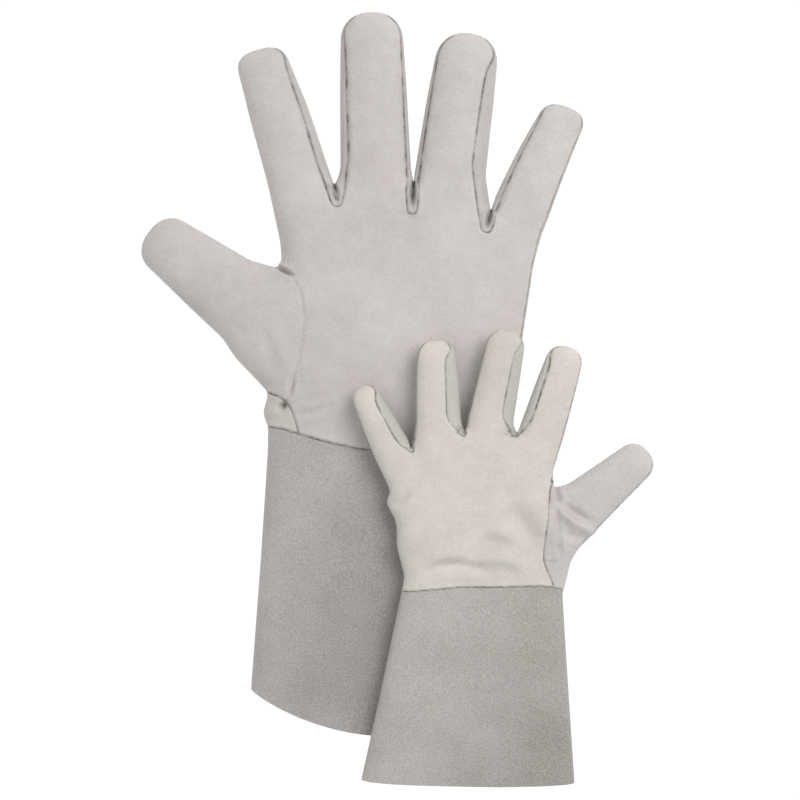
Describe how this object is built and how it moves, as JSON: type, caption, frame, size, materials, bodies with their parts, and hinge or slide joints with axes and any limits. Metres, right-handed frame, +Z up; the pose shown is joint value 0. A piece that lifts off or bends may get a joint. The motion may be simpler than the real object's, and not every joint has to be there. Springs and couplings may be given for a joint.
{
  "type": "welding gloves",
  "caption": "Pair of leather gauntlets with soft grain leather hands, side strips between the fingers and long flared split leather cuffs, lying one on the other.",
  "frame": {"origin": "under the middle of the pair's box, on the surface that the lower glove lies on", "axes": "+Y towards the finger tips, +Z up off the surface, +X to the lower glove's little finger side"},
  "size_m": [0.2618, 0.4034, 0.0405],
  "materials": {
    "palm_leather": "soft matte grain leather, warm pale grey",
    "back_leather": "soft matte grain leather, cream",
    "side_strip_leather": "soft matte grain leather, slightly darker",
    "split_leather": "napped split leather, mid grey, raw cut edges",
    "elastic": "woven elastic strip"
  },
  "bodies": {
    "large_hand": {"large_palm": "palm_leather", "large_hand_back": "back_leather", "large_finger_crotches": "side_strip_leather", "large_wrist_elastic": "elastic", "large_cuff_front": "split_leather", "large_cuff_back": "split_leather"},
    "large_index": {"large_index_front": "palm_leather", "large_index_back": "back_leather", "large_index_fourchette": "side_strip_leather"},
    "large_middle": {"large_middle_front": "palm_leather", "large_middle_back": "back_leather", "large_middle_fourchettes": "side_strip_leather"},
    "large_ring": {"large_ring_front": "palm_leather", "large_ring_back": "back_leather", "large_ring_fourchettes": "side_strip_leather"},
    "large_little": {"large_little_front": "palm_leather", "large_little_back": "back_leather", "large_little_fourchette": "side_strip_leather"},
    "large_thumb": {"large_thumb_front": "palm_leather", "large_thumb_back": "back_leather"},
    "small_index": {"small_index_front": "palm_leather", "small_index_back": "back_leather", "small_index_fourchette": "side_strip_leather"},
    "small_middle": {"small_middle_front": "palm_leather", "small_middle_back": "back_leather", "small_middle_fourchettes": "side_strip_leather"},
    "small_ring": {"small_ring_front": "palm_leather", "small_ring_back": "back_leather", "small_ring_fourchettes": "side_strip_leather"},
    "small_little": {"small_little_front": "palm_leather", "small_little_back": "back_leather", "small_little_fourchette": "side_strip_leather"},
    "small_thumb": {"small_thumb_front": "palm_leather", "small_thumb_back": "back_leather"},
    "small_cuff": {"small_cuff_front": "split_leather", "small_cuff_back": "split_leather"},
    "small_hand": {"small_palm": "palm_leather", "small_hand_back": "back_leather", "small_finger_crotches": "side_strip_leather", "small_wrist_elastic": "elastic"}
  },
  "joints": [
    {"name": "small_lift_off", "type": "slide", "parent": "large_hand", "child": "small_cuff", "axis": [0, 0, 1], "range_m": [0, 0.12]},
    {"name": "small_wrist_fold", "type": "hinge", "parent": "small_cuff", "child": "small_hand", "pos_m": [0.04452, -0.09873, 0.0405], "axis": [1, 0, 0], "range_deg": [0, 60]},
    {"name": "large_index_fold", "type": "hinge", "parent": "large_hand", "child": "large_index", "pos_m": [-0.05131, 0.11526, 0.024], "axis": [0.9613, 0.2756, 0], "range_deg": [0, 75]},
    {"name": "large_middle_fold", "type": "hinge", "parent": "large_hand", "child": "large_middle", "pos_m": [-0.01085, 0.12026, 0.024], "axis": [0.9996, 0.0297, 0], "range_deg": [0, 75]},
    {"name": "large_ring_fold", "type": "hinge", "parent": "large_hand", "child": "large_ring", "pos_m": [0.02852, 0.11932, 0.024], "axis": [0.9914, -0.1305, 0], "range_deg": [0, 75]},
    {"name": "large_little_fold", "type": "hinge", "parent": "large_hand", "child": "large_little", "pos_m": [0.06599, 0.10048, 0.024], "axis": [0.9285, -0.3714, 0], "range_deg": [0, 75]},
    {"name": "large_thumb_fold", "type": "hinge", "parent": "large_hand", "child": "large_thumb", "pos_m": [-0.06323, 0.03727, 0.024], "axis": [0.1277, 0.9918, 0], "range_deg": [0, 50]},
    {"name": "small_index_fold", "type": "hinge", "parent": "small_hand", "child": "small_index", "pos_m": [0.07526, -0.01605, 0.0405], "axis": [0.9537, -0.3007, 0], "range_deg": [0, 45]},
    {"name": "small_middle_fold", "type": "hinge", "parent": "small_hand", "child": "small_middle", "pos_m": [0.04861, -0.01069, 0.0405], "axis": [0.9806, -0.1959, 0], "range_deg": [0, 45]},
    {"name": "small_ring_fold", "type": "hinge", "parent": "small_hand", "child": "small_ring", "pos_m": [0.02163, -0.01274, 0.0405], "axis": [0.9995, 0.0314, 0], "range_deg": [0, 45]},
    {"name": "small_little_fold", "type": "hinge", "parent": "small_hand", "child": "small_little", "pos_m": [-0.00289, -0.02513, 0.0405], "axis": [0.8988, 0.4384, 0], "range_deg": [0, 45]},
    {"name": "small_thumb_fold", "type": "hinge", "parent": "small_hand", "child": "small_thumb", "pos_m": [0.08322, -0.06623, 0.0405], "axis": [0.1353, -0.9908, 0], "range_deg": [0, 40]}
  ]
}
